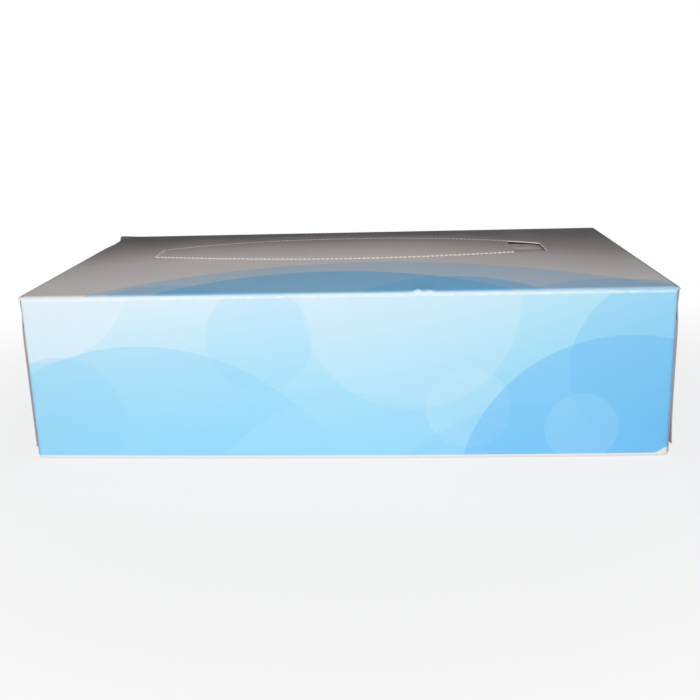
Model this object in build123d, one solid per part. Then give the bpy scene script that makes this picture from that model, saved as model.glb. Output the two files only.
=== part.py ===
"""Flat carton of facial tissues.

Two pieces. The carton is one printed board blank, creased, folded round the stack and glued:
a sleeve of bottom, front, top and back panels with a glue flap, and four flaps at each end.
Its top panel still holds the perforated tear-out, with the open finger hole at one end.
Inside lies the stack of interfolded tissues, which lifts the middle of the top panel.

Frame: origin under the middle of the bottom panel, X along the length, front at -Y, +Z up.
"""

import math
import os

from build123d import *

# Carton, millimetres
LENGTH = 230.0
WIDTH = 120.0
HEIGHT = 62.0  # from the floor to the creases of the top panel
CROWN = 3.2  # how far the middle of the top panel stands above its creases
BOARD = 0.45  # caliper of the board
FOLD = 1.2  # outer radius of a crease

# Flaps
GLUE_FLAP = 15.0  # top of the flap glued inside the back panel, above the floor
BACK_EDGE = 0.4  # the back panel's cut edge stops this far above the floor
FLAP_INSET = 0.5  # the wide flaps are this much narrower than the end on each side
OUTER_FLAP_END = 4.5  # lower edge of the outer flap, above the floor
INNER_FLAP_END = 50.0  # upper edge of the inner flap, above the floor
DUST_FLAP = 44.0  # depth of the narrow flaps of the front and back panels
DUST_RELIEF = 1.5  # how far they stop from the floor and from the top creases

# Tear-out in the top panel
TEAR_X = -0.5  # its middle
TEAR_Y = 5.0
TEAR_LENGTH = 162.0
TEAR_WIDTH = 46.4  # across the middle
TEAR_END = 16.2  # across each straight end
FINGER_HOLE = 13.5  # length of the open finger hole at the right end
FINGER_CORNER = 1.5
PITCH = 1.8  # perforation: one cut and the nick after it
CUT = 1.2
CUT_WIDTH = 0.25

# Stack of tissues
STACK_LENGTH = 212.0
STACK_WIDTH = 104.0
STACK_SHOULDER = 58.5  # height of the top sheet along its edges
STACK_TOP = 63.4  # height of the top sheet in the middle
STACK_CORNER = 5.0  # rounding of the upright edges

# Worked out from these
HALF_LENGTH = LENGTH / 2
HALF_WIDTH = WIDTH / 2
PANEL_HALF_WIDTH = HALF_WIDTH - FOLD
FLAP_HALF_WIDTH = HALF_WIDTH - FLAP_INSET
GLUE_FACE = HALF_WIDTH - BOARD  # inner face of the back panel
OUTER_FLAP = HALF_LENGTH - BOARD  # inner face of each end flap, from the outermost
INNER_FLAP = HALF_LENGTH - 2 * BOARD
DUST_FACE = HALF_LENGTH - 3 * BOARD
ABOVE = HEIGHT + 2 * CROWN  # clear above the crowned panel


def block(x, y, z):
    """A box between the low and high limits on each axis."""
    size = [high - low for low, high in (x, y, z)]
    middle = [(high + low) / 2 for low, high in (x, y, z)]
    return Pos(*middle) * Box(*size)


def crease(plane, across, up, turn, length):
    """Board bent a quarter turn about an axis along the plane's normal, from the angle turn."""
    ring = Circle(FOLD) - Circle(FOLD - BOARD)
    quarter = Rot(0, 0, turn) * Pos(FOLD / 2, FOLD / 2) * Rectangle(FOLD, FOLD)
    bend = Pos(across, up) * (ring & quarter)
    return extrude(plane * bend, length / 2, both=True)


def raised_sheet(half_length, half_width, edge, rise, depth):
    """A sheet with straight level edges and a raised middle, flatter along X than along Y."""
    columns = 6
    rows = 4
    share = (1 - 0.5 ** (columns - 2)) * (1 - 0.5 ** (rows - 2))
    poles = []
    for i in range(columns):
        x = half_length * (2 * i / (columns - 1) - 1)
        line = []
        for j in range(rows):
            y = half_width * (2 * j / (rows - 1) - 1)
            inside = 0 < i < columns - 1 and 0 < j < rows - 1
            line.append((x, y, edge + (rise / share if inside else 0)))
        poles.append(line)
    return extrude(Face.make_bezier_surface(poles), depth, dir=(0, 0, -1))


def sleeve():
    """Bottom, front and back panels with their long creases and the glue flap."""
    half = INNER_FLAP - FOLD
    along = (-half, half)
    low = FOLD
    high = HEIGHT - FOLD
    return [
        block(along, (-HALF_WIDTH, BOARD - HALF_WIDTH), (low, high)),
        block(along, (GLUE_FACE, HALF_WIDTH), (BACK_EDGE, high)),
        block(along, (GLUE_FACE - BOARD, GLUE_FACE), (low, GLUE_FLAP)),
        block(along, (-PANEL_HALF_WIDTH, GLUE_FACE - FOLD), (0, BOARD)),
        crease(Plane.YZ, -PANEL_HALF_WIDTH, high, 90, 2 * half),
        crease(Plane.YZ, PANEL_HALF_WIDTH, high, 0, 2 * half),
        crease(Plane.YZ, -PANEL_HALF_WIDTH, low, 180, 2 * half),
        crease(Plane.YZ, GLUE_FACE - FOLD, low, 270, 2 * half),
    ]


def end_flaps():
    """The four flaps of the right end, each with its crease, glued one on the other."""
    across = (-FLAP_HALF_WIDTH, FLAP_HALF_WIDTH)
    wide = 2 * FLAP_HALF_WIDTH
    high = HEIGHT - FOLD
    sleeve_end = INNER_FLAP - FOLD
    bottom_end = OUTER_FLAP - FOLD
    # the outer flap hangs from the top panel
    pieces = [
        block((OUTER_FLAP, HALF_LENGTH), across, (OUTER_FLAP_END, high)),
        crease(Plane.ZX, high, HALF_LENGTH - FOLD, 0, wide),
    ]
    # the inner flap rises from the bottom panel
    pieces += [
        block((INNER_FLAP, OUTER_FLAP), across, (FOLD, INNER_FLAP_END)),
        block((sleeve_end, bottom_end), (-PANEL_HALF_WIDTH, GLUE_FACE - FOLD), (0, BOARD)),
        crease(Plane.ZX, FOLD, bottom_end, 90, wide),
    ]
    # the dust flaps turn in from the front and back panels
    upright = (DUST_RELIEF, HEIGHT - DUST_RELIEF)
    tall = upright[1] - upright[0]
    halfway = Plane.XY.offset(HEIGHT / 2)
    inward = HALF_WIDTH - DUST_FLAP
    for side, turn in ((-1, 270), (1, 0)):
        y = sorted((side * inward, side * PANEL_HALF_WIDTH))
        pieces.append(block((DUST_FACE, INNER_FLAP), y, upright))
        pieces.append(crease(halfway, sleeve_end, side * PANEL_HALF_WIDTH, turn, tall))
    return pieces


def tear_outline():
    """The tear-out's two long arcs, front and back."""
    half = TEAR_LENGTH / 2
    arcs = []
    for side in (-1, 1):
        left = (TEAR_X - half, TEAR_Y + side * TEAR_END / 2)
        middle = (TEAR_X, TEAR_Y + side * TEAR_WIDTH / 2)
        right = (TEAR_X + half, TEAR_Y + side * TEAR_END / 2)
        arcs.append(ThreePointArc(left, middle, right))
    return arcs


def finger_hole(arcs):
    """The open right end of the tear-out, as a cutter through the top panel."""
    front, back = arcs
    outline = make_face([front, Line(front @ 1, back @ 1), back, Line(back @ 0, front @ 0)])
    right = TEAR_X + TEAR_LENGTH / 2
    window = Pos(right - FINGER_HOLE / 2, TEAR_Y) * Rectangle(FINGER_HOLE, TEAR_WIDTH)
    hole = outline & window
    hole = fillet(hole.vertices(), FINGER_CORNER)
    return extrude(Pos(0, 0, HEIGHT / 2) * hole, ABOVE - HEIGHT / 2)


def perforation(arcs):
    """One cutter for each cut along the arcs, up to the finger hole, and the left end."""
    front, back = arcs
    hole_start = TEAR_X + TEAR_LENGTH / 2 - FINGER_HOLE
    cuts = []
    for path in (front, back, Line(front @ 0, back @ 0)):
        count = int(path.length / PITCH)
        margin = (path.length - count * PITCH) / 2
        for i in range(count):
            share = (margin + (i + 0.5) * PITCH) / path.length
            middle = path @ share
            along = path % share
            if middle.X + CUT / 2 > hole_start:
                continue
            angle = math.degrees(math.atan2(along.Y, along.X))
            cutter = Box(CUT, CUT_WIDTH, 2 * (ABOVE - HEIGHT))
            cuts.append(Pos(middle.X, middle.Y, HEIGHT) * Rot(0, 0, angle) * cutter)
    print("perforation cuts:", len(cuts))
    return cuts


def carton():
    """The whole folded and glued blank, with its perforation and finger hole."""
    arcs = tear_outline()
    top = raised_sheet(HALF_LENGTH - FOLD, PANEL_HALF_WIDTH, HEIGHT, CROWN, BOARD)
    top = top - [finger_hole(arcs), *perforation(arcs)]
    right = end_flaps()
    left = [mirror(piece, about=Plane.YZ) for piece in right]
    return top.fuse(*sleeve(), *right, *left)


def tissue_stack():
    """The interfolded sheets as one soft block with a pillowed top."""
    body = raised_sheet(
        STACK_LENGTH / 2,
        STACK_WIDTH / 2,
        STACK_SHOULDER,
        STACK_TOP - STACK_SHOULDER,
        STACK_TOP,
    )
    upright = Pos(0, 0, BOARD) * extrude(
        RectangleRounded(STACK_LENGTH, STACK_WIDTH, STACK_CORNER), ABOVE
    )
    return body & upright


os.makedirs("parts", exist_ok=True)
for name, piece in (("carton", carton()), ("tissue_stack", tissue_stack())):
    export_step(piece, f"parts/{name}.step")
    print(name, piece.bounding_box().size, round(piece.volume), "mm3", len(piece.solids()), "solid")
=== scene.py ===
# %% [markdown]
# # A flat carton of facial tissues
#
# The carton is one die-cut board blank, printed on one side, creased, folded round a stack of
# interfolded tissues and glued. This script makes it the same way: a flat grid for the blank,
# slots and perforation cut by deleting faces, and then one rule that says where each point of
# the blank lies once it is folded. Modelling six panels and eight flaps one by one would also
# work, but then the print could not run on over the creases as it does on a real blank.

# %% Load the frame
import math

import bmesh
import bpy
from mathutils import Matrix, Vector, noise


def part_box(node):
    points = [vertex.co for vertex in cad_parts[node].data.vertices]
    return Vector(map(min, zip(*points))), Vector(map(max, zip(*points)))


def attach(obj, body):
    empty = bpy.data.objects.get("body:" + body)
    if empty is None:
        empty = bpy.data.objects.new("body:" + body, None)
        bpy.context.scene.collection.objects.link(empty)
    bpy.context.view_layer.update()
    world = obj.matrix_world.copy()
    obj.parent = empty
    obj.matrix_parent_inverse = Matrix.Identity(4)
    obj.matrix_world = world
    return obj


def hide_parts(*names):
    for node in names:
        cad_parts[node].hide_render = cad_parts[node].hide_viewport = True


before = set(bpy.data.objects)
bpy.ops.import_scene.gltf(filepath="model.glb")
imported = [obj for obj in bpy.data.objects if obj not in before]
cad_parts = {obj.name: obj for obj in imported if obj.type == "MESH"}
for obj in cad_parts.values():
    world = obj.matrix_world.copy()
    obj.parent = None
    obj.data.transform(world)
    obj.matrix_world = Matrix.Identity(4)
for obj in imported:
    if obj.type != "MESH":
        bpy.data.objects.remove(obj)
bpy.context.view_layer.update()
low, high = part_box("carton")
print("carton box, mm:", [round(v * 1000, 1) for v in (high - low)])

# %% [markdown]
# ## Sizes
#
# Everything is in metres. The outside of the carton is read from the frame. The rest are sizes
# that a carton maker would give: board caliper, crease radius, flap depths and the tear-out.

# %% Sizes
MM = 0.001
LENGTH = high.x - low.x
WIDTH = high.y - low.y
CROWN = 3.2 * MM  # the stack lifts the middle of the top panel this far
HEIGHT = high.z - low.z - CROWN
BOARD = 0.42 * MM  # a hair under the real caliper, so that glued flaps don't share a face
LAYER = 0.45 * MM  # from one glued flap to the next
FOLD = 1.2 * MM
GLUE_FLAP = 15 * MM
BACK_EDGE = 0.4 * MM
OUTER_FLAP_END = 4.5 * MM
INNER_FLAP_END = 50 * MM
DUST_FLAP = 44 * MM
DUST_RELIEF = 1.5 * MM
FLAP_FLARE = 0.012  # the outer flap is cut wider than its panel by this share

TEAR_X = -0.5 * MM
TEAR_Y = 5 * MM
TEAR_HALF_LENGTH = 81 * MM
TEAR_HALF_WIDTH = 23.2 * MM
TEAR_HALF_END = 8.1 * MM
FINGER_HOLE = 13.5 * MM
PITCH = 1.8 * MM
CUT = 1.2 * MM
CUT_WIDTH = 0.25 * MM
LIP_WIDTH = 0.35 * MM  # board beside a cut that the knife has roughed up
FRONT_LIP = 0.38 * MM  # how far it stands up
BACK_LIP = 0.14 * MM
HOLE_LIP = 0.12 * MM
LIP_SLANT = 0.22 * MM  # the knife's teeth stand a little slanted

X_TOP = LENGTH / 2 - FOLD  # where each panel ends and its end crease begins
X_BOTTOM = X_TOP - LAYER
X_SIDE = X_TOP - 2 * LAYER
Y_PANEL = WIDTH / 2 - FOLD  # where the top panel ends and its long creases begin
Y_GLUE = WIDTH / 2 - LAYER - FOLD  # the same for the bottom panel at the glue flap
ARC = FOLD * math.pi / 2  # board used up by a crease
print("panels end at x, mm:", [round(x * 1000, 2) for x in (X_TOP, X_BOTTOM, X_SIDE)])

# %% [markdown]
# ## Stations on the blank
#
# The grid needs lines where something happens: at creases, at the edges of the tear-out, and at
# both ends of every perforation cut. A line across the top panel is placed by a number on a
# scale of landmarks, from the front crease to the back one, so that the lines follow the curve
# of the tear-out by themselves.


# %% Landmarks across the top panel
def tear_half_width(x):
    """Half the width of the tear-out at x: an arc through its middle and both ends."""
    rise = TEAR_HALF_WIDTH - TEAR_HALF_END
    radius = (TEAR_HALF_LENGTH**2 + rise**2) / (2 * rise)
    along = min(abs(x - TEAR_X), TEAR_HALF_LENGTH)
    return TEAR_HALF_WIDTH - radius + math.sqrt(radius**2 - along**2)


def between(marks, place):
    """The value at a place on a scale of landmarks, where 2.5 is halfway from mark 2 to 3."""
    i = min(int(place), len(marks) - 2)
    return marks[i] + (marks[i + 1] - marks[i]) * (place - i)


def top_y(x, place):
    """y on the top panel. Cuts lie between marks 2 and 3 and between 6 and 7."""
    half = tear_half_width(x)
    edge = CUT_WIDTH / 2
    lip = edge + LIP_WIDTH
    front = TEAR_Y - half
    back = TEAR_Y + half
    return between(
        [-Y_PANEL, front - lip, front - edge, front + edge, front + lip]
        + [back - lip, back - edge, back + edge, back + lip, Y_PANEL],
        place,
    )


def top_x(place):
    """x on the top panel. The left end's cuts lie between marks 2 and 3, the hole from 5 to 6."""
    left = TEAR_X - TEAR_HALF_LENGTH
    right = TEAR_X + TEAR_HALF_LENGTH
    edge = CUT_WIDTH / 2
    lip = edge + LIP_WIDTH
    return between(
        [-X_TOP, left - lip, left - edge, left + edge, left + lip]
        + [right - FINGER_HOLE, right, right + LIP_WIDTH, X_TOP],
        place,
    )


# %% Rows and columns of the grid
def even(start, end, steps):
    """Places after start, up to end, in equal steps."""
    return [start + (end - start) * (k + 1) / steps for k in range(steps)]


def cuts(start, count):
    """Places of a run of cuts in the next unit of the scale: the ends and body of each cut."""
    nick = (1 - CUT / PITCH) / 2
    body = nick + 0.2 * (1 - 2 * nick)
    marks = []
    for k in range(count):
        for share, name in ((nick, "end"), (body, "cut"), (1 - body, "cut"), (1 - nick, "end")):
            marks.append((start + (k + share) / count, name))
    return marks


long_cuts = round((top_x(5) - top_x(4)) / PITCH)
end_cuts = round((top_y(top_x(4), 5) - top_y(top_x(4), 4)) / PITCH)
columns = [("left flap", 1 - s, "") for s in even(-0.1, 0.9, 10)]
columns += [("left crease", 1 - s, "") for s in even(-0.25, 0.75, 4)]
columns += [("middle", q, "") for q in [0, 0.01, *even(0.01, 1, 15), 2, 3, 4]]
columns += [("middle", q, name) for q, name in cuts(4, long_cuts)]
columns += [("middle", q, "") for q in [5, 5.25, 5.5, 5.75, 6, 7, *even(7, 7.98, 9), 8]]
columns += [("right crease", s, "") for s in even(0, 1, 4)]
columns += [("right flap", s, "") for s in even(0, 1, 10)]
rows = [("glue", 0, ""), ("glue", 1, "")]
rows += [("glue crease", s, "") for s in even(0, 1, 3)]
rows += [("bottom", s, "") for s in [0.01, 0.3, 0.7, 0.99, 1]]
rows += [("low crease", s, "") for s in even(0, 1, 4)]
rows += [("front", s, "") for s in [0.012, *even(0.012, 0.975, 8), 0.99, 1]]
rows += [("top crease", s, "") for s in even(0, 1, 6)]
rows += [("top", p, "") for p in [0.01, 0.03, 0.06, *even(0.06, 1, 8), 2, 3, 4]]
rows += [("top", p, name) for p, name in cuts(4, end_cuts)]
rows += [("top", p, "") for p in [5, 6, 7, 8, *even(8, 8.84, 7), 8.86, 8.92, 8.99, 9]]
rows += [("back crease", s, "") for s in even(0, 1, 4)]
rows += [("back", s, "") for s in [0.012, *even(0.012, 1, 7)]]
print("grid:", len(columns), "columns by", len(rows), "rows; cuts:", 2 * long_cuts + end_cuts)

# %% [markdown]
# ## Folding rule
#
# Fresh board is flat, but a full carton isn't: the stack pushes the top panel up, the front
# bows out along its foot, the long top crease has a small buckle where it was nipped in
# packing, and the back left corner is bent. These are smooth functions of place, so the same
# grid carries them.


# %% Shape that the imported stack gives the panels
def swell(share, power):
    """1 in the middle of a span, falling to 0 at both its ends; a high power is flatter."""
    return (1 - (1 - share) ** power - share**power) / (1 - 0.5 ** (power - 1))


def crown(x, y):
    """Height of the top panel above its creases: flatter along the length than across."""
    along = min(max((x + X_TOP) / (2 * X_TOP), 0), 1)
    across = min(max((y + Y_PANEL) / (2 * Y_PANEL), 0), 1)
    return CROWN * swell(along, 5) * swell(across, 3)


def bow(x):
    """How far the foot of the front panel bows out."""
    return 1.3 * MM * (1 - (x / (LENGTH / 2)) ** 2)


def bell(offset, width):
    """1 at no offset, and near 0 past twice the width."""
    return math.exp(-((offset / width) ** 2))


def buckle(x, y, z):
    """The nipped place on the top front crease: two short ridges side by side."""
    near = bell(z - HEIGHT, 2.4 * MM) * bell(y + WIDTH / 2, 3 * MM)
    ridges = 0.95 * bell(x - 26.4 * MM, 1.5 * MM) + 0.6 * bell(x - 30.3 * MM, 1.4 * MM)
    lift = near * ridges * MM
    return Vector((0, -0.5 * lift, lift))


def bent_corner(x, y, z):
    """The back left corner: the edge has sunk before it, and a soft ridge ends in a raised tip."""
    if z < HEIGHT - 9 * MM or x > -75 * MM:
        return Vector((0, 0, 0))
    near = bell(HEIGHT - z, 5 * MM) if z < HEIGHT else 1
    at_edge = bell(x + LENGTH / 2, 6 * MM)
    sink = 0.5 * MM * at_edge * bell(y - 44 * MM, 9 * MM)
    from_ridge = (x + 115 * MM) * 0.93 + (y - 56 * MM) * 0.37
    ridge = 0.4 * MM * bell(from_ridge, 3.5 * MM) * bell(y - 27 * MM, 26 * MM)
    past_step = min(max((y - 51.7 * MM) / (0.8 * MM), 0), 1)
    tip = 1.6 * MM * at_edge * past_step * (60.5 * MM - y) / (8 * MM)
    return Vector((0, 0, near * (ridge + tip - sink)))


def waver(x, other, height):
    """Gentle unevenness of handled board, in dips some 40 mm across."""
    return height * noise.noise(Vector((x, other, height)) / (40 * MM))


# %% Where each point of the sleeve lies
PRINT_FRONT = ARC  # distances along the sleeve, from the floor line of the front panel
PRINT_TOP = PRINT_FRONT + HEIGHT - 2 * FOLD + ARC
PRINT_BACK = PRINT_TOP + 2 * Y_PANEL + ARC


def sleeve(zone, share, x):
    """Point on the folded sleeve and its distance along the unfolded sleeve."""
    turn = share * math.pi / 2
    sine = FOLD * math.sin(turn)
    cosine = FOLD * math.cos(turn)
    rest = FOLD - cosine
    if zone == "glue":
        z = GLUE_FLAP + (FOLD - GLUE_FLAP) * share
        return (x, Y_GLUE + FOLD, z), -Y_PANEL - Y_GLUE - ARC - z
    if zone == "glue crease":
        return (x, Y_GLUE + cosine, FOLD - sine), -Y_PANEL - Y_GLUE - ARC * (1 - share)
    if zone == "bottom":
        y = Y_GLUE - (Y_GLUE + Y_PANEL) * share
        return (x, y - bow(x) * share, 0), -(Y_GLUE + Y_PANEL) * (1 - share)
    if zone == "low crease":
        return (x, -Y_PANEL - sine - bow(x), rest), ARC * share
    if zone == "front":
        z = FOLD + (HEIGHT - 2 * FOLD) * share
        bulge = (0.5 * MM + waver(x, z, 0.3 * MM)) * swell(share, 2) * swell(0.5 + x / LENGTH, 4)
        bulge += bow(x) * (1 - share**2)
        return (x, -WIDTH / 2 - bulge, z), PRINT_FRONT + z - FOLD
    if zone == "top crease":
        return (x, -Y_PANEL - cosine, HEIGHT - FOLD + sine), PRINT_TOP - ARC * (1 - share)
    if zone == "top":
        y = top_y(x, share)
        return (x, y, HEIGHT + crown(x, y)), PRINT_TOP + y + Y_PANEL
    if zone == "back crease":
        return (x, Y_PANEL + sine, HEIGHT - rest), PRINT_BACK - ARC * (1 - share)
    z = HEIGHT - FOLD + (BACK_EDGE - HEIGHT + FOLD) * share
    bulge = (0.8 * MM + waver(x, z, 0.4 * MM)) * swell(share, 2) * swell(0.5 + x / LENGTH, 4)
    return (x, WIDTH / 2 + bulge, z), PRINT_BACK + HEIGHT - FOLD - z


# %% Where each point of an end flap lies
CRUSHED = {"low crease", "top crease", "back crease"}  # creases with closed corners


def flap(zone, share, side, turn, reach):
    """Point on an end flap: turn runs along its crease, and reach along the flap.

    Where two creases meet, the board is crushed into a rounded corner.
    """
    angle = turn * math.pi / 2
    sine = FOLD * math.sin(angle)
    rest = FOLD - FOLD * math.cos(angle)
    if zone == "top":
        y = top_y(side * X_TOP, share)
        wide = y * (1 + FLAP_FLARE * min(1, 4 * reach))
        depth = (HEIGHT - FOLD - OUTER_FLAP_END) * reach
        gape = 0.55 * MM * reach**9 if side > 0 else 0  # the right flap stands off at its edge
        pressed = 0.4 * MM * bell(reach - 0.1, 0.06)  # above the inner flap it sinks in a little
        x = X_TOP + sine + gape - pressed
        return (side * x, wide, HEIGHT - rest - depth), PRINT_TOP + y + Y_PANEL
    if zone == "bottom":
        y = Y_GLUE - (Y_GLUE + Y_PANEL) * share
        depth = (INNER_FLAP_END - FOLD) * reach
        return (side * (X_BOTTOM + sine), y, rest + depth), -(Y_GLUE + Y_PANEL) * (1 - share)
    point, distance = sleeve(zone, share, side * X_SIDE)
    if zone in CRUSHED:
        facing = 1 if zone == "back crease" else -1
        up = {"low crease": share - 1, "top crease": share}.get(zone, 1 - share) * math.pi / 2
        y = Y_PANEL + (FOLD - rest) * math.cos(up)
        z = (FOLD if zone == "low crease" else HEIGHT - FOLD) + (FOLD - rest) * math.sin(up)
        x = X_SIDE if zone == "low crease" else X_TOP
        return (side * (x + sine), facing * y, z), distance
    if zone not in ("front", "back"):
        return point, distance
    lean = min(1, turn + reach)
    z = point[2] + (min(max(point[2], DUST_RELIEF), HEIGHT - DUST_RELIEF) - point[2]) * lean
    y = WIDTH / 2 - rest - (DUST_FLAP - FOLD) * reach
    return (side * (X_SIDE + sine), y if zone == "back" else -y, z), distance


# %% The whole rule, with the raised lips of the cuts
ZONE_HALF = {"top": X_TOP, "bottom": X_BOTTOM}


def lip_height(row, row_mark, column, column_mark):
    """How far the knife has raised the board here. Only the body of a cut stands up."""
    if 4 < column < 5 and column_mark == "cut":
        return {2: FRONT_LIP, 3: FRONT_LIP, 6: BACK_LIP, 7: BACK_LIP}.get(row, 0)
    if column in (2, 3) and 4 < row < 5 and row_mark == "cut":
        return FRONT_LIP
    beside_hole = (row == 7 and 5 < column < 6) or (column == 6 and 2 < row < 7)
    return HOLE_LIP if beside_hole else 0


def folded(row, column):
    """Place on the carton, and place on the flat print, of a grid point."""
    zone, share, row_mark = row
    part, value, column_mark = column
    if part != "middle":
        side = -1 if part.startswith("left") else 1
        turn, reach = (1, value) if part.endswith("flap") else (value, 0)
        place, distance = flap(zone, share, side, turn, reach)
        flat_x = side * (X_TOP + ARC * turn + (HEIGHT - FOLD - OUTER_FLAP_END) * reach)
        return Vector(place), (flat_x, distance)
    flat_x = top_x(value)
    if zone == "top" and 4 < value < 5:
        flat_x += {2: -1, 3: 1, 6: -1, 7: 1}.get(share, 0) * LIP_SLANT
    half = ZONE_HALF.get(zone, X_SIDE)
    place, distance = sleeve(zone, share, flat_x * half / X_TOP)
    point = Vector(place)
    if zone == "top":
        point.z += lip_height(share, row_mark, value, column_mark)
    return point, (flat_x, distance)


# %% [markdown]
# ## The blank
#
# `create_grid` gives the sheet. Deleting faces does what the die does: it opens the slots
# between the end flaps, every perforation cut and the finger hole. Moving the points folds it.
# Board that the knife has roughed up shows its white coating, so those faces get their own
# finish.

# %% Die-cut the blank and fold it
PRINTED, BACK, EDGE, TORN = range(4)  # finishes of the carton, as slots of its mesh


def is_waste(row_a, row_b, column_a, column_b):
    """Whether the grid face between two rows and two columns is cut away."""
    zone = row_b[0]
    parts = (column_a[0], column_b[0])
    if parts != ("middle", "middle"):
        on_flap = any(part.endswith("flap") for part in parts)
        if CRUSHED & {row_a[0], row_b[0]} and not on_flap:
            return False
        return zone not in ("top", "front", "bottom", "back") or row_a[0] != zone
    if zone != "top" or row_a[0] != "top":
        return False
    p = (row_a[1] + row_b[1]) / 2
    q = (column_a[1] + column_b[1]) / 2
    in_arc = (2 < p < 3 or 6 < p < 7) and "cut" in (column_a[2], column_b[2])
    in_end = 2 < q < 3 and "cut" in (row_a[2], row_b[2])
    return in_arc or in_end or (2 < p < 7 and 5 < q < 6)


def is_torn(row_a, row_b, column_a, column_b):
    """Whether a face lies on the roughed-up lip of a cut or of the finger hole."""
    if row_a[0] != "top" or column_a[0] != "middle" or column_b[0] != "middle":
        return False
    p = (row_a[1] + row_b[1]) / 2
    q = (column_a[1] + column_b[1]) / 2
    beside_arc = 1 < p < 2 or 3 < p < 4 or 5 < p < 6 or 7 < p < 8
    beside_end = (1 < q < 2 or 3 < q < 4) and 4 < p < 5
    at_cut = beside_arc and "cut" in (column_a[2], column_b[2])
    at_end = beside_end and "cut" in (row_a[2], row_b[2])
    at_hole = (7 < p < 8 and 5 < q < 6) or (6 < q < 7 and 2 < p < 7)
    return at_cut or at_end or at_hole


def cut_blank():
    """The flat grid, cut, folded and given its print coordinates."""
    bm = bmesh.new()
    across = len(columns) - 1
    along = len(rows) - 1
    bmesh.ops.create_grid(bm, x_segments=across, y_segments=along, size=1)
    station = {}
    for vert in bm.verts:
        station[vert] = (
            round((vert.co.x + 1) / 2 * across),
            round((vert.co.y + 1) / 2 * along),
        )
    waste = []
    for face in bm.faces:
        i = sorted({station[v][0] for v in face.verts})
        j = sorted({station[v][1] for v in face.verts})
        stations = (rows[j[0]], rows[j[1]], columns[i[0]], columns[i[1]])
        if is_waste(*stations):
            waste.append(face)
        elif is_torn(*stations):
            face.material_index = TORN
    bmesh.ops.delete(bm, geom=waste, context="FACES")
    uv = bm.loops.layers.uv.new("print")
    for vert in bm.verts:
        i, j = station[vert]
        point, flat = folded(rows[j], columns[i])
        vert.co = point + buckle(*point) + bent_corner(*point)
        for loop in vert.link_loops:
            loop[uv].uv = flat
    bmesh.ops.remove_doubles(bm, verts=bm.verts, dist=0.005 * MM)  # the tips of the corners
    print("cut away", len(waste), "faces, left", len(bm.faces))
    return bm


blank = cut_blank()

# %% [markdown]
# ## Thickness
#
# The folded sheet has no thickness yet. Solidify grows the board inwards from the printed face,
# and its material offsets give the back of the board and the cut edges their own finish. The
# result is worked into the mesh, so that the piece is finished and nothing stays live on it.


# %% Board thickness and clean shading
def link(mesh, name):
    """A new object at the origin that carries the mesh."""
    piece = bpy.data.objects.new(name, mesh)
    bpy.context.scene.collection.objects.link(piece)
    return piece


def baked(piece):
    """The piece with its modifiers worked into its mesh, and creases over 40 degrees sharp."""
    graph = bpy.context.evaluated_depsgraph_get()
    mesh = bpy.data.meshes.new_from_object(piece.evaluated_get(graph))
    piece.modifiers.clear()
    piece.data = mesh
    mesh.shade_smooth()
    mesh.set_sharp_from_angle(angle=math.radians(40))
    print(piece.name, "faces:", len(mesh.polygons))
    return piece


def make_carton(bm):
    """The carton object, from the folded blank."""
    mesh = bpy.data.meshes.new("carton_board")
    bm.to_mesh(mesh)
    bm.free()
    piece = link(mesh, "carton_board")
    for _ in (PRINTED, BACK, EDGE, TORN):
        mesh.materials.append(None)
    skin = piece.modifiers.new("board", "SOLIDIFY")
    skin.thickness = BOARD
    skin.offset = -1
    skin.use_even_offset = False
    skin.material_offset = BACK
    skin.material_offset_rim = EDGE
    return baked(piece)


carton = make_carton(blank)
faces_up = [p for p in carton.data.polygons if p.material_index == PRINTED and p.normal.z > 0.9]
print("printed faces that look up:", len(faces_up))

# %% [markdown]
# ## The tissues
#
# Interfolded tissues lie in a soft block. Only the top sheet can be seen, through the finger
# hole, so the block is a subdivided box whose top is pillowed, with lengthwise pleats and a
# low step at the next sheet's fold. Its rows are closer near the hole, where the pleats show.

# %% Stack of tissues
STACK_SHOULDER = 4.9 * MM  # from the top sheet's middle down to its edges
PLEAT_SPACING = 4.2 * MM
SHEET_FOLD = 8 * MM  # y of the next sheet's fold


def stack_depth(x, y, half_x, half_y):
    """How far the top sheet lies below its highest point."""
    pillow = swell(0.5 + x / half_x / 2, 14) * swell(0.5 + y / half_y / 2, 3)
    pleat = noise.noise(Vector((x / (35 * MM), y / PLEAT_SPACING, 3.7))) * 0.55 * MM
    fold = SHEET_FOLD + noise.noise(Vector((x / (40 * MM), 1.5, 0))) * 2 * MM
    step = -0.2 * MM if y > fold else 0.4 * MM
    return STACK_SHOULDER * (1 - pillow) + (pleat + step) * min(1, pillow * 3)


def make_stack():
    """The soft block of interfolded sheets."""
    box_low, box_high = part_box("tissue_stack")
    half = (box_high - box_low) / 2
    middle = (box_high + box_low) / 2
    bm = bmesh.new()
    bmesh.ops.create_cube(bm, size=2)
    bmesh.ops.subdivide_edges(bm, edges=bm.edges, cuts=79, use_grid_fill=True)
    for vert in bm.verts:
        x, row, z = vert.co
        spread = row * (0.3 + 0.7 * row**2)  # rows crowd towards the middle
        y = half.y * spread + TEAR_Y * (1 - spread**2)
        ripple = waver(x * half.x, z * half.z * 6, 0.5 * MM) * (1 - abs(z) ** 8)
        depth = stack_depth(x * half.x, y, half.x, half.y) * max(0, z)
        edge = ripple * abs(row) ** 9
        vert.co = Vector((x * half.x, y - math.copysign(edge, row), z * half.z - depth)) + middle
    bmesh.ops.smooth_vert(bm, verts=bm.verts, factor=0.2, use_axis_z=True)
    mesh = bpy.data.meshes.new("tissue_block")
    bm.to_mesh(mesh)
    bm.free()
    mesh.shade_smooth()
    return link(mesh, "tissue_block")


stack = make_stack()
print("top of the tissues, mm:", round(max(v.co.z for v in stack.data.vertices) * 1000, 1))

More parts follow.
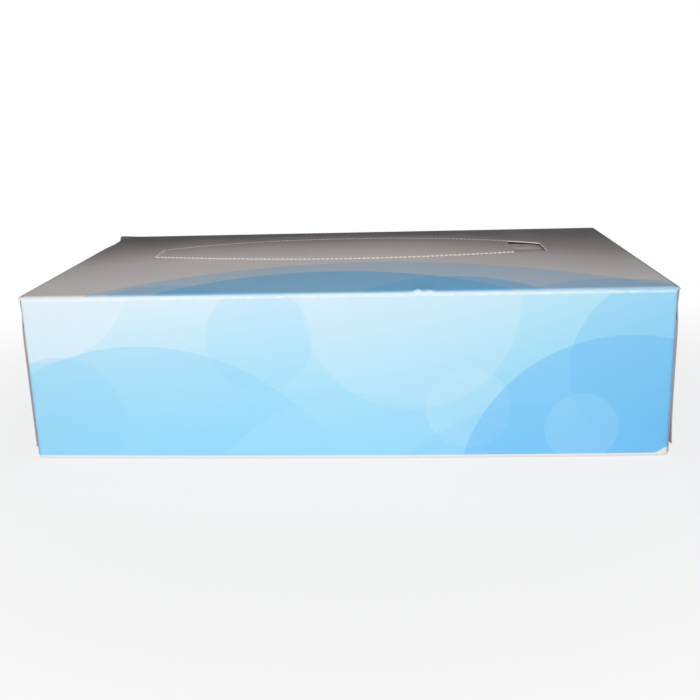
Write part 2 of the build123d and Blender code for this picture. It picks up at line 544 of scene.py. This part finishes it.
# %% [markdown]
# ## Materials
#
# Colours are written as sRGB hex values and turned to linear light once. One helper adds a
# shader node with its settings and its links, and a few short ones name the steps that the
# finishes share: a share that rises over a distance, a band, one ink laid over another.

# %% Helpers for materials
def colour(hex_code):
    """Linear RGBA from an sRGB hex value."""
    channels = [int(hex_code[i : i + 2], 16) / 255 for i in (1, 3, 5)]
    linear = [c / 12.92 if c <= 0.04045 else ((c + 0.055) / 1.055) ** 2.4 for c in channels]
    return (*linear, 1)


def add(tree, kind, links=None, **settings):
    """A node of a kind: links holds its inputs, as sockets or values, by name or number."""
    node = tree.nodes.new(kind)
    for name, value in settings.items():
        setattr(node, name, value)
    for name, value in (links or {}).items():
        if isinstance(value, bpy.types.NodeSocket):
            tree.links.new(value, node.inputs[name])
        else:
            node.inputs[name].default_value = value
    return node


def new_material(name):
    """An empty node material and its tree."""
    material = bpy.data.materials.new(name)
    material.use_nodes = True
    material.node_tree.nodes.clear()
    return material, material.node_tree


def ramp_of(tree, factor, stops):
    """A colour that runs through the stops, each a position and a hex value."""
    ramp = add(tree, "ShaderNodeValToRGB", {"Fac": factor})
    elements = ramp.color_ramp.elements
    elements[0].position = stops[0][0]
    elements[0].color = colour(stops[0][1])
    elements[1].position = stops[-1][0]
    elements[1].color = colour(stops[-1][1])
    for position, ink in stops[1:-1]:
        elements.new(position).color = colour(ink)
    return ramp.outputs["Color"]


def span(tree, value, start, end, low_share=0.0, high_share=1.0):
    """A share that goes from low to high while the value goes from start to end."""
    links = {"Value": value, "From Min": start, "From Max": end}
    links.update({"To Min": low_share, "To Max": high_share})
    return add(tree, "ShaderNodeMapRange", links).outputs["Result"]


def combine(tree, operation, first, second=0.0):
    """One or two values through one step of arithmetic."""
    return add(tree, "ShaderNodeMath", {0: first, 1: second}, operation=operation).outputs[0]


def band(tree, value, start, end, soft, strength=1.0):
    """A share that is full between start and end, and falls to 0 over a soft margin."""
    apart = combine(tree, "ABSOLUTE", combine(tree, "SUBTRACT", value, (start + end) / 2))
    half = (end - start) / 2
    return span(tree, apart, half + soft, half, 0, strength)


MIX_COLOUR_A = 6  # sockets of the Mix node when it mixes colours
MIX_COLOUR_B = 7
MIX_COLOUR_OUT = 2


def over(tree, base, ink, cover):
    """The base colour with ink laid over it by a share."""
    mixed = add(
        tree,
        "ShaderNodeMix",
        {"Factor": cover, MIX_COLOUR_A: base, MIX_COLOUR_B: ink},
        data_type="RGBA",
    )
    return mixed.outputs[MIX_COLOUR_OUT]


# %% [markdown]
# ### Offset print on coated board
#
# The carton is clay-coated white board, printed and varnished: smooth, with a satin gloss. The
# ground runs from pale to sky blue down the sides and to the right. On top it runs from white
# to warm grey towards the back, and darker towards the ends, most on the right: that grey is
# painted shade, for light that falls off over the top. The design is a loose scatter of
# overlapping discs, worked out on the flat print. The top has a set of its own, which the long
# crease cuts off. The bottom and the glue flap stay unprinted. The varnish is matt: at the low
# angle from which the top is seen, a glossier one would hide the painted shade under the white
# surround.

# %% Print design
WHITE_BOARD = "#F6F3F0"
# white along the long crease: partly cracked ink, partly a painted highlight
CRACKED_INK_AND_HIGHLIGHT = "#FAFDFF"
PALE = "#E8F4FE"
LIGHT = "#CFF0FE"
SKY = "#B2E6FD"
BLUE = "#98DAFC"
DEEP = "#79C8FC"
TOP_BLUE = "#84D0FF"
TOP_SKY = "#B8DEFA"
# painted shade towards the ends of the top
TOP_END_SHADE = "#7E797B"
# painted shade in the end creases of the top
TOP_CREASE_SHADE = "#5F6066"
SIDE_GROUND = [
    (0, "#E6F4FD"),
    (0.15, "#D3F0FD"),
    (0.35, "#BCEBFD"),
    (0.55, "#A8E4FD"),
    (0.75, "#98DCFD"),
    (0.88, "#88D3FC"),
    (1, "#79CBFA"),
]
# white at the front of the top; the warm grey further back is painted shade
TOP_GROUND_AND_SHADE = [
    (0, "#F3EEEC"),
    (0.38, "#F0E9E6"),
    (0.585, "#CEC0BE"),
    (0.68, "#AFA5A2"),
    (0.857, "#736E70"),
    (1, "#6B6769"),
]

# discs: x and distance along the sleeve in mm, radius in mm, colour, strength
DISCS = [
    (-110, 74, 36, PALE, 0.60),  # front
    (-74, -40, 84, BLUE, 0.40),
    (-30, 46, 19, BLUE, 0.22),
    (-104, 16, 24, BLUE, 0.30),
    (24, 58, 38, PALE, 0.22),
    (4, -34, 60, SKY, 0.40),
    (44, 20, 15, LIGHT, 0.30),
    (70, -44, 66, BLUE, 0.35),
    (100, -14, 60, DEEP, 0.55),
    (112, 34, 33, DEEP, 0.30),
    (84, 12, 13, SKY, 0.25),
    (-86, 214, 46, BLUE, 0.50),  # back
    (-30, 250, 60, SKY, 0.55),
    (-44, 196, 18, LIGHT, 0.50),
    (24, 262, 66, BLUE, 0.45),
    (54, 200, 21, LIGHT, 0.50),
    (98, 246, 58, DEEP, 0.50),
    (-166, 84, 42, BLUE, 0.45),  # ends
    (-172, 146, 44, SKY, 0.55),
    (-136, 116, 17, LIGHT, 0.45),
    (164, 88, 40, BLUE, 0.50),
    (174, 138, 46, DEEP, 0.45),
    (138, 150, 18, SKY, 0.50),
]
TOP_DISCS = [
    (12, -72, 170, TOP_SKY, 0.65),
    (-4, -10, 96, TOP_BLUE, 0.70),
    (-64, 50, 23, TOP_BLUE, 0.35),
    (38, 40, 38, TOP_BLUE, 0.60),
    (96, 30, 44, TOP_BLUE, 0.35),
]
INK_EDGE = 0.12 * MM  # how sharp the edge of a disc is


# %% Ground and discs
def disc_layer(tree, base, flat, disc):
    """The base colour with one disc of the print laid over it."""
    x, distance, radius, ink, strength = disc
    centre = (x * MM, distance * MM, 0)
    apart = add(tree, "ShaderNodeVectorMath", {0: flat, 1: centre}, operation="DISTANCE")
    reach = radius * MM
    cover = span(
        tree, apart.outputs["Value"], reach + INK_EDGE, reach - INK_EDGE, 0, strength
    )
    return over(tree, base, colour(ink), cover)


def side_ground(tree, place):
    """Pale to sky blue, down the sides and to the right."""
    axes = add(tree, "ShaderNodeSeparateXYZ", {0: place}).outputs
    down = span(tree, axes["Z"], HEIGHT, 0.0)
    across = span(tree, axes["X"], low.x, high.x)
    late = combine(tree, "POWER", across, 3.0)
    share = combine(tree, "MULTIPLY", down, 0.62)
    share = combine(tree, "ADD", share, combine(tree, "MULTIPLY", across, 0.15))
    share = combine(tree, "ADD", share, combine(tree, "MULTIPLY", late, 0.30))
    return ramp_of(tree, share, SIDE_GROUND)


def top_ground_and_shade(tree, sideways, distance):
    """White over the top, turning to painted shade: warm grey towards the back, darker at both
    ends.
    """
    back = span(tree, distance, PRINT_TOP, PRINT_BACK)
    ink = ramp_of(tree, back, TOP_GROUND_AND_SHADE)
    # painted shade towards both ends of the top, stronger further back
    ends = span(tree, sideways, 42 * MM, 110 * MM, 0, 0.6)
    ends = combine(tree, "MULTIPLY", ends, span(tree, back, 0.12, 0.6))
    return over(tree, ink, colour(TOP_END_SHADE), ends)


def print_wear(tree, ink, flat, u, distance):
    """Cracked ink and a painted highlight on the long crease; the unprinted foot of the front."""
    crease = PRINT_TOP - ARC
    speckle = add(
        tree, "ShaderNodeTexNoise", {"Vector": flat, "Scale": 1 / (2.5 * MM), "Detail": 3.0}
    )
    # a white line along the long crease, partly cracked ink and partly a painted highlight
    cracked = band(tree, distance, crease - 0.6 * MM, crease + 0.1 * MM, 0.25 * MM)
    cracked = combine(
        tree, "MULTIPLY", cracked, span(tree, speckle.outputs["Fac"], 0.4, 0.6, 0.4, 0.75)
    )
    ink = over(tree, ink, colour(CRACKED_INK_AND_HIGHLIGHT), cracked)
    # the print stops just short of the foot, and higher in a small wedge at the right corner
    rise = span(tree, u, 109.8 * MM, 113.5 * MM)
    wedge = combine(tree, "MULTIPLY", combine(tree, "POWER", rise, 1.6), 2 * MM)
    foot = combine(tree, "ADD", wedge, ARC + 0.35 * MM)
    bare = combine(tree, "LESS_THAN", distance, foot)
    return over(tree, ink, colour(WHITE_BOARD), bare)


# %% Printed board
def printed_board():
    """Varnished offset print on white clay-coated board."""
    material, tree = new_material("offset_printed_coated_board")
    place = add(tree, "ShaderNodeTexCoord").outputs["Object"]
    flat = add(tree, "ShaderNodeUVMap", uv_map="print").outputs["UV"]
    u, distance, _ = add(tree, "ShaderNodeSeparateXYZ", {0: flat}).outputs
    from_middle = combine(tree, "ABSOLUTE", u)
    on_top = combine(
        tree,
        "MULTIPLY",
        band(tree, distance, PRINT_TOP - 0.6 * ARC, PRINT_BACK - 0.5 * ARC, 0.05 * MM),
        span(tree, from_middle, X_TOP + 0.4 * ARC, X_TOP + 0.3 * ARC),
    )
    side_ink = side_ground(tree, place)
    for disc in DISCS:
        side_ink = disc_layer(tree, side_ink, flat, disc)
    # the top's ground with its painted shade, darker towards the ends and most on the right
    darker_right = combine(tree, "ABSOLUTE", combine(tree, "ADD", u, 18 * MM))
    top_ink = top_ground_and_shade(tree, darker_right, distance)
    for disc in TOP_DISCS:
        top_ink = disc_layer(tree, top_ink, flat, disc)
    ink = over(tree, side_ink, top_ink, on_top)
    # painted shade: the end creases of the top are darker, where they turn away from the light
    crease_shade = band(tree, from_middle, X_TOP - 0.2 * MM, X_TOP + 0.6 * ARC, 0.2 * MM, 0.5)
    crease_shade = combine(tree, "MULTIPLY", crease_shade, band(tree, distance, PRINT_TOP, PRINT_BACK, MM))
    ink = over(tree, ink, colour(TOP_CREASE_SHADE), crease_shade)
    ink = print_wear(tree, ink, flat, u, distance)
    # board isn't quite smooth: a fine grain under the varnish, and broad patches of gloss
    grain = add(
        tree, "ShaderNodeTexNoise", {"Vector": place, "Scale": 1 / (0.5 * MM), "Detail": 3.0}
    )
    patches = add(
        tree, "ShaderNodeTexNoise", {"Vector": place, "Scale": 1 / (18 * MM), "Detail": 2.0}
    )
    bump = add(
        tree,
        "ShaderNodeBump",
        {"Height": grain.outputs["Fac"], "Strength": 0.25, "Distance": 0.02 * MM},
    )
    shader = add(
        tree,
        "ShaderNodeBsdfPrincipled",
        {
            "Base Color": ink,
            "Roughness": span(tree, patches.outputs["Fac"], 0.3, 0.7, 0.72, 0.86),
            "IOR": 1.45,
            "Specular IOR Level": 0.1,
            "Normal": bump.outputs["Normal"],
        },
    )
    add(tree, "ShaderNodeOutputMaterial", {"Surface": shader.outputs["BSDF"]})
    return material


# %% [markdown]
# ### Bare fibre
#
# The back of the board, its cut edges, the lips that the knife has torn and the tissues are all
# paper fibre without varnish, so one recipe makes them: noise stretched to the size of the
# fibres sets the colour, the roughness and a little relief. What differs is fibre size and tone.
# The back is greyed by recycled stock, an edge shows its plies as fine level streaks, and a
# torn lip shows the white coating. Tissue has the crosswise ridges of creping; its tone is
# darker than clean tissue, for the shade in which it lies under the board.


# %% Fibre finishes
def fibrous(name, dark, pale, fibre, relief, roughness):
    """Bare fibre: two tones, fibre size along x, y and z in mm, relief in mm."""
    material, tree = new_material(name)
    place = add(tree, "ShaderNodeTexCoord").outputs["Object"]
    stretch = tuple(1 / (size * MM) for size in fibre)
    stretched = add(tree, "ShaderNodeVectorMath", {0: place, 1: stretch}, operation="MULTIPLY")
    fibres = add(
        tree,
        "ShaderNodeTexNoise",
        {"Vector": stretched.outputs["Vector"], "Scale": 1.0, "Detail": 4.0},
    ).outputs["Fac"]
    bump = add(
        tree, "ShaderNodeBump", {"Height": fibres, "Strength": 0.6, "Distance": relief * MM}
    )
    shader = add(
        tree,
        "ShaderNodeBsdfPrincipled",
        {
            "Base Color": ramp_of(tree, fibres, [(0.3, dark), (0.7, pale)]),
            "Roughness": span(tree, fibres, 0.3, 0.7, roughness - 0.06, roughness + 0.06),
            "IOR": 1.45,
            "Specular IOR Level": 0.25,
            "Normal": bump.outputs["Normal"],
        },
    )
    add(tree, "ShaderNodeOutputMaterial", {"Surface": shader.outputs["BSDF"]})
    return material


FINISHES = {
    PRINTED: printed_board(),
    BACK: fibrous("recycled_board_back", "#A8998B", "#C1B4A8", (3, 0.4, 0.4), 0.03, 0.88),
    EDGE: fibrous("cut_board_edge", "#A19BA2", "#BAB4BB", (2, 2, 0.08), 0.02, 0.86),
    TORN: fibrous("torn_white_coating", "#EFE8E1", "#FCF8F3", (0.5, 0.3, 0.3), 0.05, 0.8),
}
for finish, material in FINISHES.items():
    carton.data.materials[finish] = material
stack.data.materials.append(
    fibrous("creped_tissue", "#A99C97", "#DACFCA", (14, 0.9, 2), 0.12, 0.92)
)
print("finishes:", [m.name for m in carton.data.materials], stack.data.materials[0].name)

# %% Hand the pieces to the frame
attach(carton, "root")
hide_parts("carton")
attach(stack, "root")
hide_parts("tissue_stack")

# %% [markdown]
# ## Floor, light and camera
#
# The carton stands on a plain pale floor under one large soft light in front, with a white
# surround that fills the shadows. The floor fades to the white background away from the
# carton, for the camera only, so its contact shadow stays and its far edge never shows.

# %% Floor
FLOOR_SIZE = 12
FLOOR_GAP = 0.05 * MM  # keeps the floor clear of the bottom panel, which lies at height 0
FADE_START = 0.12  # distance from the middle of the carton, and where the fade is complete
FADE_END = 0.27
FADE_NEAR = 0.78  # share of white that the floor has already beside the carton


def make_floor():
    """A wide pale floor that fades to the white background away from the carton."""
    bm = bmesh.new()
    bmesh.ops.create_grid(bm, x_segments=1, y_segments=1, size=FLOOR_SIZE / 2)
    bmesh.ops.translate(bm, verts=bm.verts, vec=(0, 0, -FLOOR_GAP))
    mesh = bpy.data.meshes.new("floor")
    bm.to_mesh(mesh)
    bm.free()
    floor = link(mesh, "floor")
    material, tree = new_material("matte_white_floor")
    place = add(tree, "ShaderNodeTexCoord").outputs["Object"]
    apart = add(tree, "ShaderNodeVectorMath", {0: place}, operation="LENGTH")
    far = add(
        tree,
        "ShaderNodeMapRange",
        {
            "Value": apart.outputs["Value"],
            "From Min": FADE_START,
            "From Max": FADE_END,
            "To Min": FADE_NEAR,
        },
        interpolation_type="SMOOTHSTEP",
    )
    rays = add(tree, "ShaderNodeLightPath").outputs
    seen = combine(tree, "MULTIPLY", far.outputs["Result"], rays["Is Camera Ray"])
    matte = add(tree, "ShaderNodeBsdfDiffuse", {"Color": colour("#F4F4F4")})
    white = add(tree, "ShaderNodeEmission", {"Color": (1, 1, 1, 1), "Strength": 1.0})
    blend = add(
        tree,
        "ShaderNodeMixShader",
        {0: seen, 1: matte.outputs["BSDF"], 2: white.outputs["Emission"]},
    )
    add(tree, "ShaderNodeOutputMaterial", {"Surface": blend.outputs["Shader"]})
    mesh.materials.append(material)
    return floor


make_floor()


# %% Light
SURROUND = 0.27  # strength of the white surround as light


def softbox(name, place, aim, size, power):
    """A square soft light at a place, facing a point."""
    lamp = bpy.data.lights.new(name, "AREA")
    lamp.size = size
    lamp.energy = power
    holder = bpy.data.objects.new(name, lamp)
    holder.location = place
    holder.rotation_euler = (Vector(aim) - Vector(place)).to_track_quat("-Z", "Y").to_euler()
    bpy.context.scene.collection.objects.link(holder)


def make_world():
    """White background for the camera, softer white light on the object."""
    world = bpy.data.worlds.new("studio")
    bpy.context.scene.world = world
    world.use_nodes = True
    tree = world.node_tree
    tree.nodes.clear()
    rays = add(tree, "ShaderNodeLightPath").outputs
    seen = rays["Is Camera Ray"]
    for kind in ("Is Glossy Ray", "Is Transmission Ray"):
        seen = combine(tree, "MAXIMUM", seen, rays[kind])
    strength = span(tree, seen, 0.0, 1.0, SURROUND, 1.0)
    light = add(tree, "ShaderNodeBackground", {"Color": (1, 1, 1, 1), "Strength": strength})
    add(tree, "ShaderNodeOutputWorld", {"Surface": light.outputs["Background"]})


make_world()
softbox("front_softbox", (-0.06, -0.8, 0.24), (0, 0, 0.03), 0.4, 3.75)


# %% Camera
def make_camera():
    """The camera, a little above the carton and just left of facing its front."""
    data = bpy.data.cameras.new("camera")
    data.sensor_width = 36
    data.lens = 41.37
    data.shift_x = 0.0033
    data.shift_y = -0.1006
    camera = bpy.data.objects.new("camera", data)
    bpy.context.scene.collection.objects.link(camera)
    down = math.radians(13.23)
    turn = math.radians(3.346)
    roll = math.radians(-1.72)
    place = Matrix.Translation((18.0 * MM, -328.6 * MM, 129.6 * MM))
    aim = Matrix.Rotation(turn, 4, "Z") @ Matrix.Rotation(math.pi / 2 - down, 4, "X")
    camera.matrix_world = place @ aim @ Matrix.Rotation(roll, 4, "Z")
    bpy.context.scene.camera = camera


make_camera()
bpy.context.scene.view_settings.view_transform = "Standard"
